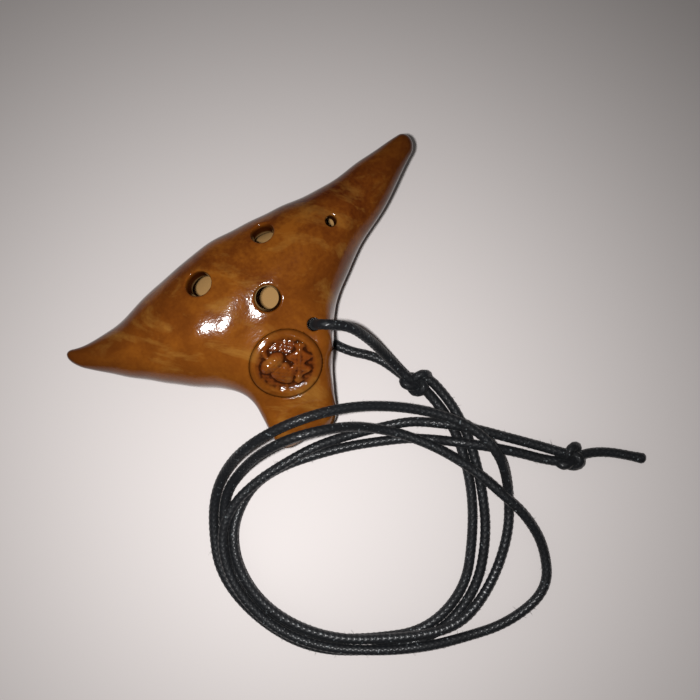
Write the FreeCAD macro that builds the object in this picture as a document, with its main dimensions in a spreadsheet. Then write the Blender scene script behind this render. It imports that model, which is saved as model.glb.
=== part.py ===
"""A glazed clay vessel flute (ocarina) on a waxed neck cord, lying on its belly.

Millimetres, +Z up. +X runs from the left wing tip to the right one, and +Y away from the
mouthpiece. The origin is the middle of the clay body's box, on the surface it lies on.
"""
import FreeCAD
import Part
import Sketcher
import math
import os

from FreeCAD import Placement, Rotation, Vector

# Driving sizes. Each name is an alias in the document's spreadsheet.
SIZES = {
    "span": 98.0,            # wing tip to wing tip
    "vessel_depth": 36.8,    # front to back of the vessel at its belly
    "vessel_height": 25.2,   # thickness of the vessel at its belly
    "wall": 4.0,             # clay thickness of both shells
    "pitch": 8.0,            # the vessel leans this many degrees towards its mouthpiece
    "roll": 3.0,             # and this many degrees towards its right wing
    "belly_y": 8.0,          # middle of the belly section
    "belly_flat": 0.5,       # how much of the round belly is rubbed flat to lie on
    "beak_length": 28.0,     # from the lip to the end buried in the vessel
    "beak_turn": 16.0,       # degrees between the mouthpiece and -Y
    "lip_x": -11.2,
    "lip_y": -25.5,
    "lip_width": 14.4,
    "lip_top": 10.4,
    "neck_width": 24.6,
    "neck_drop": 4.2,        # how far the neck lies below the vessel's top
    "edge_round": 3.4,       # rounding of the mouthpiece's long edges
    "airway_width": 9.0,
    "airway_height": 1.6,
    "airway_floor": 4.0,
    "window_inset": 2.2,     # sound window, measured from the front of the vessel
    "window_length": 5.5,
    "ramp_slope": 35.0,      # degrees of the ramp behind the labium
    "finger_hole": 6.4,
    "small_hole": 3.2,
    "cord_hole": 3.1,
    "cord_hole_x": 4.8,
    "cord_hole_y": -4.1,
    "mouth_easing": 1.4,     # how much wider both mouths of the cord hole are than the hole
    "medal_width": 17.2,
    "medal_thickness": 2.6,
    "medal_rim": 1.5,
    "medal_dish": 0.8,
    "cord": 2.5,
    "knot": 5.8,             # height of both knots
}

# The vessel's sections from tip to tip. Shares: place along the span from its middle, how far
# the section lies behind the belly's, its depth and its thickness.
SECTIONS = (
    (-0.500, 0.360, 0.060, 0.075),
    (-0.475, 0.325, 0.145, 0.185),
    (-0.370, 0.185, 0.385, 0.500),
    (-0.220, 0.045, 0.780, 0.845),
    (-0.060, 0.000, 1.000, 1.000),
    (0.120, 0.090, 0.735, 0.850),
    (0.250, 0.175, 0.480, 0.630),
    (0.370, 0.262, 0.335, 0.460),
    (0.475, 0.355, 0.160, 0.200),
    (0.500, 0.370, 0.060, 0.075),
)
CHAMBER_SECTIONS = SECTIONS[2:8]  # the wing tips are solid clay

# Holes in the vessel: name, share of the span right of its middle, share of the depth behind the
# belly's middle, lean back and lean right in degrees, and the size that rules them.
FINGER_HOLES = (
    ("left_hole", -0.124, 0.255, 14.0, -6.0, "finger_hole"),
    ("back_hole", 0.063, 0.337, 26.0, 8.0, "finger_hole"),
    ("front_hole", -0.010, -0.030, -10.0, 4.0, "finger_hole"),
    ("right_hole", 0.218, 0.163, -4.0, 14.0, "small_hole"),
)

# The mouthpiece's sections: share of its length from the lip, share of the way from lip width to
# neck width, share of the way from lip top to neck top, height of the underside, and how many
# degrees the section is turned back from square.
BEAK_SECTIONS = (
    (0.00, 0.00, 0.00, 0.6, 9.0),
    (0.10, 0.20, 0.22, 0.0, 8.0),
    (0.28, 0.36, 0.46, 0.0, 5.0),
    (0.50, 0.62, 0.72, 0.4, 2.0),
    (0.70, 1.00, 1.00, 2.0, 0.0),
    (0.98, 0.00, 0.80, 6.0, 0.0),
)
# The medallion on the neck: across it, inward from the lip, below the neck's top, and its lean.
MEDAL_ACROSS, MEDAL_INWARD, MEDAL_DROP, MEDAL_LEAN = 0.5, 17.9, 1.3, 18.0

# The cord's heights above the table: lying on it, over one strand, and over two.
LOW, HIGH, TOP = 1.3, 4.1, 6.9

# The upper end of the cord comes out of the top of its hole, the lower end out of the bottom.
UPPER_LEG = (
    (4.8, -4.1, 12.4), (4.8, -4.1, 16.4), (4.95, -4.2, 20.6), (7.5, -5.7, 23.2), (12.4, -8.7, 20.2),
    (14.7, -13.8, 13.2), (15.7, -19.2, 7.2), (16.5, -24.6, 4.4), (17.4, -28.2, 3.6),
)
LOWER_LEG = (
    (4.8, -4.1, 12.4), (4.8, -4.1, 7.0), (4.9, -4.35, 1.5), (5.7, -9.8, LOW), (8.7, -14.3, LOW),
    (11.8, -17.2, LOW), (14.2, -20.4, LOW), (15.8, -24.4, LOW), (17.2, -28.6, 1.8),
)
# From the loop knot twice round the coil to the end knot. Strand A goes under the other at the
# mouthpiece and far out at the right, strand B over the mouthpiece higher up.
STRAND_A = (
    (18.9, -30.8, 2.2), (20.0, -36.0, 1.5), (20.5, -42.0, LOW), (19.5, -50.0, LOW), (15.7, -61.1, LOW),
    (9.3, -71.4, LOW), (0.3, -81.8, LOW), (-13.8, -85.4, LOW), (-27.0, -79.5, LOW), (-39.9, -71.2, LOW),
    (-46.1, -58.2, LOW), (-48.3, -44.6, LOW), (-43.2, -33.6, LOW), (-37.6, -27.0, 2.8),
    (-30.2, -24.2, 8.0), (-22.8, -23.0, 15.2), (-15.0, -23.6, 18.2), (-7.4, -26.0, 17.6),
    (-1.0, -29.6, 12.6), (3.6, -34.0, 6.6), (8.0, -38.5, HIGH), (14.2, -47.0, HIGH),
    (19.0, -57.0, HIGH), (21.6, -66.0, 4.5), (23.7, -73.8, 3.4), (23.5, -83.6, LOW), (18.3, -93.5, LOW),
    (5.0, -95.2, LOW), (-7.5, -91.6, 1.9), (-16.5, -87.6, HIGH), (-27.0, -82.0, HIGH),
    (-39.0, -73.3, HIGH), (-47.0, -61.2, HIGH), (-49.0, -47.1, HIGH), (-45.0, -35.8, HIGH),
    (-37.9, -30.7, HIGH), (-29.5, -29.0, HIGH), (-20.5, -29.0, HIGH), (-11.8, -29.7, 3.2),
    (-3.6, -32.0, LOW), (4.6, -34.8, LOW), (11.6, -37.4, 1.8), (16.4, -40.6, 4.3), (23.5, -46.6, 4.3),
    (29.8, -53.6, 3.2), (36.0, -60.4, 2.6), (40.2, -65.2, 3.2),
)
STRAND_B = (
    (21.5, -30.0, 2.2), (22.7, -35.0, 1.5), (23.2, -41.5, LOW), (22.2, -50.0, LOW), (18.4, -61.5, LOW),
    (12.5, -73.2, LOW), (2.2, -84.0, LOW), (-13.3, -88.2, LOW), (-28.1, -82.6, LOW),
    (-41.6, -73.4, LOW), (-49.0, -59.7, LOW), (-51.1, -44.5, LOW), (-45.6, -32.5, LOW),
    (-39.8, -25.4, 3.0), (-32.2, -21.4, 9.0), (-24.4, -19.8, 17.0), (-15.5, -20.0, 20.8),
    (-6.6, -21.8, 20.8), (1.6, -25.2, 17.4), (9.4, -30.4, 12.4), (16.4, -36.6, 8.6), (22.0, -43.2, TOP),
    (25.4, -50.5, TOP), (25.9, -56.5, 6.6), (25.0, -62.0, 3.4), (22.6, -68.0, LOW), (18.0, -75.0, LOW),
    (10.6, -81.6, LOW), (2.6, -85.8, 2.5), (-5.0, -87.4, 4.0), (-12.6, -86.0, HIGH),
    (-22.4, -81.2, HIGH), (-33.7, -74.3, HIGH), (-41.4, -65.2, HIGH), (-45.5, -55.0, HIGH),
    (-45.4, -44.6, HIGH), (-41.9, -36.4, 3.0), (-36.0, -31.6, LOW), (-29.5, -29.2, LOW),
    (-21.5, -29.6, LOW), (-13.0, -31.8, LOW), (-5.0, -34.4, LOW), (2.6, -37.8, LOW), (9.4, -41.2, LOW),
    (14.4, -44.8, 1.5), (17.4, -47.0, 3.6), (20.6, -49.6, 4.5), (25.4, -53.8, 4.3), (31.0, -59.4, 3.0),
    (35.8, -64.8, 2.6), (39.8, -68.0, 2.8),
)
TAIL = (
    (43.0, -68.2, 2.6), (46.6, -69.4, 1.8), (50.4, -71.8, LOW), (54.0, -75.0, LOW), (57.6, -78.6, LOW),
)

# Each knot's turns as round lumps: middle (x, y) and share of the knot's full size.
LOOP_KNOT = ((17.2, -28.6, 1.0), (18.9, -30.2, 1.1), (21.4, -30.0, 1.0))
END_KNOT = ((39.9, -66.1, 1.0), (42.5, -67.6, 1.08))

ARC_SHARE = 0.45  # of the shorter run that a cord's bend takes up

doc = FreeCAD.newDocument("vessel_flute")
sheet = doc.addObject("Spreadsheet::Sheet", "sizes")
for row, (name, value) in enumerate(SIZES.items(), start=1):
    sheet.set(f"A{row}", name)
    sheet.set(f"B{row}", str(value))
    sheet.setAlias(f"B{row}", name)
doc.recompute()


def size(name):
    """The sheet's value as a plain number."""
    return float(sheet.get(name))


def made(obj, label):
    """Give a finished sub-part its label."""
    obj.Label = label
    return obj


def add(kind, name, **links):
    """Add a document object and set its plain properties."""
    obj = doc.addObject(kind, name)
    for key, value in links.items():
        setattr(obj, key, value)
    return obj


def bind(obj, **expressions):
    """Tie properties to the sheet."""
    for key, expression in expressions.items():
        obj.setExpression(key, expression)
    return obj


def join(name, shapes):
    return add("Part::MultiFuse", name, Shapes=shapes)


def cut(name, base, tool):
    return add("Part::Cut", name, Base=base, Tool=tool)


def common(name, base, tool):
    return add("Part::MultiCommon", name, Shapes=[base, tool])


# ---------------------------------------------------------------- the clay vessel
LEAN = math.radians(size("pitch"))
ROLL = math.radians(size("roll"))
SECTION_TURN = Rotation(
    Vector(0, math.cos(LEAN), math.sin(LEAN)),
    Vector(0, -math.sin(LEAN), math.cos(LEAN)),
    Vector(1, 0, 0),
    "ZXY",
)
# Height of the belly section's middle, so that the flat cuts off belly_flat of it.
BELLY_Z = (
    math.hypot(size("vessel_depth") / 2 * math.sin(LEAN), size("vessel_height") / 2 * math.cos(LEAN))
    - size("belly_flat")
)
VESSEL_TOP = 2 * BELLY_Z + size("belly_flat")


def section(name, shares, wall):
    """One oval section of the vessel, or of its chamber when wall isn't 0."""
    along, back, deep, thick = shares
    oval = add("Part::Ellipse", name)
    behind = f"sizes.vessel_depth * {back}"
    level = f"sizes.vessel_depth * {deep / 2} - {wall} * sizes.wall"
    upright = f"sizes.vessel_height * {thick / 2} - {wall} * sizes.wall"
    if size("vessel_height") * thick > size("vessel_depth") * deep:
        oval.Placement.Rotation = SECTION_TURN.multiply(Rotation(Vector(0, 0, 1), 90))
        bind(oval, MajorRadius=upright, MinorRadius=level)
    else:
        oval.Placement.Rotation = SECTION_TURN
        bind(oval, MajorRadius=level, MinorRadius=upright)
    right = f"sizes.span * {along}"
    oval.setExpression("Placement.Base.x", right)
    oval.setExpression("Placement.Base.y", f"sizes.belly_y + {behind}")
    height = f"{BELLY_Z} + {behind} * {math.tan(LEAN)} - {right} * {math.tan(ROLL)}"
    oval.setExpression("Placement.Base.z", height)
    return oval


def vessel_loft(name, sections, wall):
    ovals = [section(f"{name}_section_{n}", shares, wall) for n, shares in enumerate(sections)]
    return add("Part::Loft", name, Sections=ovals, Solid=True, Ruled=False)


def standing_cylinder(name, radius, place, height):
    post = add("Part::Cylinder", name, Placement=place)
    return bind(post, Radius=radius, Height=height)


vessel = vessel_loft("vessel_outside", SECTIONS, 0)
chamber_loft = vessel_loft("chamber_inside", CHAMBER_SECTIONS, 1)


hole_axis = Vector(size("cord_hole_x"), size("cord_hole_y"), 0)
hole_place = Placement(hole_axis + Vector(0, 0, -1), Rotation())
tunnel = standing_cylinder("cord_tunnel", "sizes.cord_hole / 2", hole_place, "sizes.vessel_height + 5")
upper_mouth = add("Part::Cone", "upper_mouth")
upper_mouth.Placement.Base = hole_axis + Vector(0, 0, size("vessel_height") * 0.69)
mouth_radius = "sizes.cord_hole / 2 + sizes.mouth_easing"
bind(upper_mouth, Radius1="sizes.cord_hole / 2", Radius2=mouth_radius, Height="6")
lower_mouth = add("Part::Cone", "lower_mouth")
lower_mouth.Placement.Base = hole_place.Base
bind(lower_mouth, Radius1=mouth_radius, Radius2="sizes.cord_hole / 2", Height="7")
cord_hole = join("cord_hole_tools", [tunnel, upper_mouth, lower_mouth])
boss = standing_cylinder("cord_boss", "sizes.cord_hole / 2 + 2", hole_place, "sizes.vessel_height + 5")
chamber = cut("chamber", chamber_loft, boss)

# The seam between the shells is the vessel's own middle plane.
seam_turn = Rotation(Vector(0, 1, 0), size("roll")).multiply(Rotation(Vector(1, 0, 0), size("pitch")))
seam_place = Placement(Vector(0, size("belly_y"), BELLY_Z), seam_turn)
above_seam = add("Part::Box", "above_seam")
bind(above_seam, Length="2 * sizes.span", Width="4 * sizes.vessel_depth", Height="2 * sizes.vessel_height")
slab_corner = Vector(-size("span"), -2 * size("vessel_depth"), 0)
above_seam.Placement = seam_place.multiply(Placement(slab_corner, Rotation()))
above_table = add("Part::Box", "above_table")
bind(above_table, Length="2 * sizes.span", Width="4 * sizes.vessel_depth", Height="2 * sizes.vessel_height")
above_table.Placement.Base = slab_corner


def finger_hole(name, right, behind, lean_back, lean_right, ruled_by):
    """A drill through the upper shell, square to its surface."""
    drill = standing_cylinder(name, f"sizes.{ruled_by} / 2", Placement(), "sizes.vessel_height")
    lean = Rotation(Vector(0, 1, 0), lean_right).multiply(Rotation(Vector(1, 0, 0), -lean_back))
    surface = Vector(
        size("span") * right,
        size("belly_y") + size("vessel_depth") * behind,
        size("vessel_height") * 0.85,
    )
    deep = Vector(0, 0, -0.4 * size("vessel_height"))
    drill.Placement = Placement(surface, lean).multiply(Placement(deep, Rotation()))
    return drill


drills = [finger_hole(*hole) for hole in FINGER_HOLES]

# ---------------------------------------------------------------- mouthpiece, airway and window
BEAK = Placement(Vector(size("lip_x"), size("lip_y"), 0), Rotation(Vector(0, 0, 1), -size("beak_turn")))


def origin_plane(body, role):
    for feature in body.Origin.OriginFeatures:
        if feature.Role == role:
            return feature
    raise ValueError(role)


def rounded_box_sketch(body, name, inward, turn, width, bottom, top):
    """A rounded rectangle across the mouthpiece, `inward` from the lip."""
    sketch = body.newObject("Sketcher::SketchObject", name)
    sketch.AttachmentSupport = [(origin_plane(body, "XZ_Plane"), "")]
    sketch.MapMode = "FlatFace"
    sketch.AttachmentOffset = Placement(Vector(), Rotation(Vector(0, 1, 0), turn))
    sketch.setExpression("AttachmentOffset.Base.z", f"-({inward})")
    w, low, high, r = 10.0, 0.0, 12.0, 3.0
    corners = ((w - r, low + r, -90), (w - r, high - r, 0), (-w + r, high - r, 90), (-w + r, low + r, 180))
    sides = (
        ((-w + r, low), (w - r, low)),
        ((w, low + r), (w, high - r)),
        ((w - r, high), (-w + r, high)),
        ((-w, high - r), (-w, low + r)),
    )
    for (x1, y1), (x2, y2) in sides:
        sketch.addGeometry(Part.LineSegment(Vector(x1, y1, 0), Vector(x2, y2, 0)), False)
    for x, y, start in corners:
        ring = Part.Circle(Vector(x, y, 0), Vector(0, 0, 1), r)
        arc = Part.ArcOfCircle(ring, math.radians(start), math.radians(start + 90))
        sketch.addGeometry(arc, False)
    for side in range(4):
        corner = 4 + side
        after = (side + 1) % 4
        sketch.addConstraint(Sketcher.Constraint("Tangent", side, 2, corner, 1))
        sketch.addConstraint(Sketcher.Constraint("Tangent", corner, 2, after, 1))
        if side:
            sketch.addConstraint(Sketcher.Constraint("Equal", 4, corner))
    sketch.addConstraint(Sketcher.Constraint("Horizontal", 0))
    sketch.addConstraint(Sketcher.Constraint("Vertical", 1))
    ruled = (
        (Sketcher.Constraint("Radius", 4, r), "sizes.edge_round"),
        (Sketcher.Constraint("DistanceX", -1, 1, 1, 1, w), f"({width}) / 2"),
        (Sketcher.Constraint("DistanceX", 3, 1, -1, 1, w), f"({width}) / 2"),
        (Sketcher.Constraint("DistanceY", -1, 1, 2, 1, high), top),
        (Sketcher.Constraint("DistanceY", -1, 1, 0, 1, 1.0), bottom),
    )
    for constraint, expression in ruled:
        number = sketch.addConstraint(constraint)
        sketch.setExpression(f"Constraints[{number}]", expression)
    return sketch


beak_body = add("PartDesign::Body", "beak_body", Placement=BEAK)
outlines = []
for number, (along, wide, high, bottom, turn) in enumerate(BEAK_SECTIONS):
    outlines.append(rounded_box_sketch(
        beak_body,
        f"beak_section_{number}",
        f"sizes.beak_length * {along}",
        turn,
        f"sizes.lip_width + {wide} * (sizes.neck_width - sizes.lip_width)",
        f"{bottom + 0.001}",
        f"sizes.lip_top + {high} * ({VESSEL_TOP} - sizes.neck_drop - sizes.lip_top)",
    ))
beak_loft = beak_body.newObject("PartDesign::AdditiveLoft", "beak_loft")
beak_loft.Profile = outlines[0]
beak_loft.Sections = outlines[1:]
doc.recompute()


def in_beak(x, y, z, turn=Rotation()):
    """A place given across, inward from the lip and up."""
    return BEAK.multiply(Placement(Vector(x, y, z), turn))


def beak_block(name, place, length, width, height):
    block = add("Part::Box", name, Placement=place)
    return bind(block, Length=length, Width=width, Height=height)


half_airway = size("airway_width") / 2
vessel_front = size("belly_y") - size("vessel_depth") / 2 - size("lip_y")
window_start = vessel_front / math.cos(math.radians(size("beak_turn"))) + size("window_inset")
labium = window_start + size("window_length")
edge_height = size("airway_floor") + size("airway_height") / 2
airway = beak_block(
    "airway", in_beak(-half_airway, -5, size("airway_floor")),
    "sizes.airway_width", f"{window_start} + 5.5", "sizes.airway_height")
window = beak_block(
    "sound_window", in_beak(-half_airway, window_start, -1),
    "sizes.airway_width", "sizes.window_length", "sizes.airway_floor + sizes.airway_height + 3.4")
ramp_turn = Rotation(Vector(1, 0, 0), -size("ramp_slope"))
ramp_edge = in_beak(-half_airway, labium, edge_height, ramp_turn)
ramp_place = ramp_edge.multiply(Placement(Vector(0, -6, -10), Rotation()))
ramp = beak_block("ramp", ramp_place, "sizes.airway_width", "16", "10")
ramp_side = beak_block(
    "ramp_side", in_beak(-half_airway, labium, -1), "sizes.airway_width", "12", "12")
ramp_cut = common("ramp_cut", ramp, ramp_side)

# ---------------------------------------------------------------- the stamped medallion
medal_height = VESSEL_TOP - size("neck_drop") - MEDAL_DROP
MEDAL = in_beak(MEDAL_ACROSS, MEDAL_INWARD, medal_height, Rotation(Vector(1, 0, 0), MEDAL_LEAN))
medal_seat = add("Part::Cylinder", "medal_seat")
bind(medal_seat, Radius="sizes.medal_width / 2", Height="sizes.medal_thickness + 8")
medal_seat.Placement = MEDAL.multiply(Placement(Vector(0, 0, -size("medal_thickness")), Rotation()))
medal_blank = add("Part::Cylinder", "medal_blank")
bind(medal_blank, Radius="sizes.medal_width / 2", Height="sizes.medal_thickness")
medal_blank.Placement = medal_seat.Placement
medal_dish = add("Part::Cylinder", "medal_dish")
bind(medal_dish, Radius="sizes.medal_width / 2 - sizes.medal_rim", Height="sizes.medal_dish + 1")
medal_dish.Placement = MEDAL.multiply(Placement(Vector(0, 0, -size("medal_dish")), Rotation()))
medal_tools = join("medal_tools", [medal_dish, tunnel])
medallion = made(cut("medallion_cut", medal_blank, medal_tools), "medallion")

# ---------------------------------------------------------------- shells and mouthpiece
air_tools = join("air_tools", [airway, window])
upper_tools = join("upper_tools", [chamber, medal_seat, cord_hole] + drills)
upper_half = common("upper_half", vessel, above_seam)
upper_shell = made(cut("upper_shell_cut", upper_half, upper_tools), "upper_shell")

lower_tools = join("lower_tools", [chamber, air_tools, ramp_cut, cord_hole, above_seam])
lower_half = common("lower_half", vessel, above_table)
lower_shell = made(cut("lower_shell_cut", lower_half, lower_tools), "lower_shell")

beak_tools = join("beak_tools", [vessel, air_tools, medal_seat, cord_hole])
beak = common("beak", beak_body, above_table)
mouthpiece = made(cut("mouthpiece_cut", beak, beak_tools), "mouthpiece")
clay = [upper_shell, lower_shell, mouthpiece, medallion]
doc.recompute()


# ---------------------------------------------------------------- the cord
def knot(label, lumps):
    """A drawn-tight knot: its turns as rounded lumps that lie on the table."""
    balls = []
    for number, (x, y, swell) in enumerate(lumps):
        ball = add("Part::Sphere", f"{label}_turn_{number}")
        ball.Placement.Rotation = Rotation(Vector(1, 0, 0), 90)
        bind(ball, Radius=f"sizes.knot / 2 * {swell}")
        ball.setExpression("Placement.Base.z", f"sizes.knot / 2 * {swell}")
        ball.Placement.Base.x = x
        ball.Placement.Base.y = y
        balls.append(ball)
    return made(join(f"{label}_body", balls), label)


def cord_path(label, points):
    """Straight runs joined by tangent arcs, each as large as its two runs allow."""
    corners = [Vector(*point) for point in points]
    edges = []
    radii = []
    start = corners[0]
    for before, corner, after in zip(corners, corners[1:], corners[2:]):
        into = corner - before
        out = after - corner
        turn = into.getAngle(out)
        set_back = ARC_SHARE * min(into.Length, out.Length)
        radius = set_back / math.tan(turn / 2)
        radii.append(radius)
        into.normalize()
        out.normalize()
        first = corner - into * set_back
        last = corner + out * set_back
        inward = (out - into).normalize()
        middle = corner + inward * (radius / math.cos(turn / 2) - radius)
        edges.append(Part.LineSegment(start, first).toShape())
        edges.append(Part.Arc(first, middle, last).toShape())
        start = last
    edges.append(Part.LineSegment(start, corners[-1]).toShape())
    tightest = " ".join(f"{radius:.1f}" for radius in radii)
    print(f"{label} bend radii: {tightest}")
    return Part.Wire(edges)


def cord_tube(label, points, *ends):
    """A length of cord along its points, cut off where it enters a knot."""
    path = cord_path(label, points)
    begin = Vector(*points[0])
    direction = Vector(*points[1]) - begin
    profile = Part.Wire([Part.Circle(begin, direction, size("cord") / 2).toShape()])
    tube = path.makePipeShell([profile], True, False)
    expected = math.pi * size("cord") ** 2 / 4 * path.Length
    if abs(tube.Volume - expected) > 0.01 * expected:
        raise ValueError(f"{label} tube holds {tube.Volume:.1f} mm3, not {expected:.1f}")
    print(f"{label} length {path.Length:.1f} mm")
    for end in ends:
        tube = tube.cut(end.Shape)
    longest = max(tube.Solids, key=lambda solid: solid.Volume)
    node = add("Part::Feature", f"{label}_tube", Shape=longest)
    return made(node, label)


loop_knot = knot("loop_knot", LOOP_KNOT)
end_knot = knot("end_knot", END_KNOT)
doc.recompute()
cord = [
    loop_knot,
    end_knot,
    cord_tube("upper_leg", UPPER_LEG, loop_knot),
    cord_tube("lower_leg", LOWER_LEG, loop_knot),
    cord_tube("strand_a", STRAND_A, loop_knot, end_knot),
    cord_tube("strand_b", STRAND_B, loop_knot, end_knot),
    cord_tube("cord_tail", TAIL, end_knot),
]
doc.recompute()

# ---------------------------------------------------------------- checks and files
for obj in doc.Objects:
    if "Invalid" in obj.State or "Error" in obj.State:
        raise ValueError(f"{obj.Name} failed: {obj.State}")
for part in clay + cord:
    if part.Shape.isNull() or not part.Shape.isValid() or len(part.Shape.Solids) != 1:
        raise ValueError(f"{part.Label} isn't one valid solid: {len(part.Shape.Solids)}")
os.makedirs("parts", exist_ok=True)
for part in clay + cord:
    part.Shape.exportStep(f"parts/{part.Label}.step")
    print(f"{part.Label}: {part.Shape.Volume:.0f} mm3")
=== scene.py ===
"""A glazed clay vessel flute on a waxed neck cord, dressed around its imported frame.

The clay is one smooth field in millimetres (vessel, mouthpiece, chamber, holes), meshed and cut
into its shells and mouthpiece. The cord is a braid that follows smooth curves.
"""
from __future__ import annotations

import logging
import math
from dataclasses import dataclass, field
from enum import Enum
from typing import Any, Callable

import bmesh
import bpy
import numpy as np
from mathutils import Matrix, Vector

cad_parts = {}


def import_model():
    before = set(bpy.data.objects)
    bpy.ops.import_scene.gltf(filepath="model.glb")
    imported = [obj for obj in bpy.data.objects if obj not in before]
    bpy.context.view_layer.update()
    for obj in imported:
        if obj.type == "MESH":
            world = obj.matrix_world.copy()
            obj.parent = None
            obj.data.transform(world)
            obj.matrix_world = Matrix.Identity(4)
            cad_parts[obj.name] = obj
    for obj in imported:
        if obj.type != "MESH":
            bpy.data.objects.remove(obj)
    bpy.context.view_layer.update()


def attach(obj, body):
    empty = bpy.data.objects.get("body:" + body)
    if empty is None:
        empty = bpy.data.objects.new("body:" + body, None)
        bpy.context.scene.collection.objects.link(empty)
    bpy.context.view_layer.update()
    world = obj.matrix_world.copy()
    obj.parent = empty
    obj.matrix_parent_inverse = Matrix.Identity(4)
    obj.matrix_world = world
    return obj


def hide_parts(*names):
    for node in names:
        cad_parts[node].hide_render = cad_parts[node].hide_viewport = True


LOG = logging.getLogger("vessel_flute")
MM = 0.001  # metres in a millimetre
Array = np.ndarray


class Zone(Enum):
    """The clay pieces that one field is cut into."""

    UPPER = "vessel_upper"
    LOWER = "vessel_lower"
    MOUTH = "mouthpiece_clay"


class Slot(Enum):
    """The record's material slots."""

    CLAY = "glazed_clay"
    CORD = "waxed_cord"


# ------------------------------------------------------------------ small tools
def linear(hex_code: str, alpha: float = 1.0) -> tuple[float, float, float, float]:
    """Turn an sRGB hex colour into the linear colour that a shader takes.

    Args:
        hex_code: six hex digits, such as "88522e".
        alpha: the fourth channel.

    Returns:
        Linear red, green, blue and alpha.
    """
    channels = [int(hex_code[i:i + 2], 16) / 255 for i in (0, 2, 4)]
    red, green, blue = [c / 12.92 if c <= 0.04045 else ((c + 0.055) / 1.055) ** 2.4 for c in channels]
    return red, green, blue, alpha


def add_node(tree: bpy.types.NodeTree, kind: str, settings: dict[str | int, Any] | None = None,
             links: dict[str | int, Any] | None = None) -> bpy.types.Node:
    """Add a shader node.

    Args:
        tree: the material's node tree.
        kind: the node's type name.
        settings: values by input name, input number or property name.
        links: output sockets by input name or number.

    Returns:
        The new node.
    """
    node = tree.nodes.new(kind)
    for key, value in (settings or {}).items():
        if isinstance(key, str) and hasattr(node, key):
            setattr(node, key, value)
    for key, value in (settings or {}).items():
        if isinstance(key, int) or not hasattr(node, key):
            node.inputs[key].default_value = value
    for key, socket in (links or {}).items():
        tree.links.new(socket, node.inputs[key])
    return node


def set_ramp(node: bpy.types.Node, stops: tuple[tuple[float, Any], ...]) -> bpy.types.Node:
    """Give a colour ramp its stops.

    Args:
        node: a ShaderNodeValToRGB.
        stops: (place, linear colour) from left to right.

    Returns:
        The same node.
    """
    ramp = node.color_ramp
    while len(ramp.elements) < len(stops):
        ramp.elements.new(0.5)
    for element, (place, colour) in zip(ramp.elements, stops):
        element.position = place
        element.color = colour
    return node


def smooth_min(a: Array, b: Array, reach: float) -> Array:
    """Join two fields with a fillet.

    Args:
        a: the first field.
        b: the second field.
        reach: how far the fillet reaches, in millimetres.

    Returns:
        The joined field.
    """
    share = np.clip(0.5 + 0.5 * (b - a) / reach, 0.0, 1.0)
    return b + (a - b) * share - reach * share * (1.0 - share)


def smooth_max(a: Array, b: Array, reach: float) -> Array:
    """Intersect two fields with a rounded edge; the arguments are those of smooth_min."""
    return -smooth_min(-a, -b, reach)


def smooth_table(places: Array, table: Array, at: Array) -> list[Array]:
    """Interpolate the columns of a table with a smooth curve.

    Args:
        places: the rows' rising places.
        table: one row of values per place.
        at: where the values are wanted.

    Returns:
        One array per column.
    """
    at = np.clip(at, places[0], places[-1])
    row = np.clip(np.searchsorted(places, at, side="right") - 1, 0, len(places) - 2)
    gap = np.diff(places)
    rise = np.diff(table, axis=0) / gap[:, None]
    slope = np.vstack([rise[:1], (rise[1:] + rise[:-1]) / 2, rise[-1:]])
    width = gap[row]
    t = (at - places[row]) / width
    return [
        table[row, c] * (2 * t ** 3 - 3 * t ** 2 + 1)
        + slope[row, c] * width * (t ** 3 - 2 * t ** 2 + t)
        + table[row + 1, c] * (3 * t ** 2 - 2 * t ** 3)
        + slope[row + 1, c] * width * (t ** 3 - t ** 2)
        for c in range(table.shape[1])
    ]


def smooth_step(low: float, high: float, value: Array) -> Array:
    """Rise smoothly from 0 at low to 1 at high."""
    t = np.clip((value - low) / (high - low), 0.0, 1.0)
    return t * t * (3 - 2 * t)


@dataclass(frozen=True)
class Frame3:
    """A place with its own axes, in millimetres.

    Args:
        origin: the place.
        axes: three unit rows: across, inward, up.
    """

    origin: Array
    axes: Array

    def local(self, x: Array, y: Array, z: Array) -> tuple[Array, Array, Array]:
        """Row coordinates turned into this frame's."""
        dx, dy, dz = x - self.origin[0], y - self.origin[1], z - self.origin[2]
        return tuple(dx * a[0] + dy * a[1] + dz * a[2] for a in self.axes)

    def world(self, u: Array, v: Array, w: Array) -> tuple[Array, Array, Array]:
        """This frame's coordinates turned into the row's."""
        a, b, c = self.axes
        return tuple(self.origin[i] + u * a[i] + v * b[i] + w * c[i] for i in range(3))

    def moved(self, u: float, v: float, w: float, tilt: float = 0.0) -> Frame3:
        """Set up another frame at a place in this one.

        Args:
            u: the place across.
            v: the place inward.
            w: the place up.
            tilt: degrees that the new frame is tilted about its first axis.

        Returns:
            The new frame.
        """
        place = np.array([float(c) for c in self.world(u, v, w)])
        cos, sin = math.cos(math.radians(tilt)), math.sin(math.radians(tilt))
        across, inward, up = self.axes
        return Frame3(place, np.array([across, inward * cos + up * sin, up * cos - inward * sin]))


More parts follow.
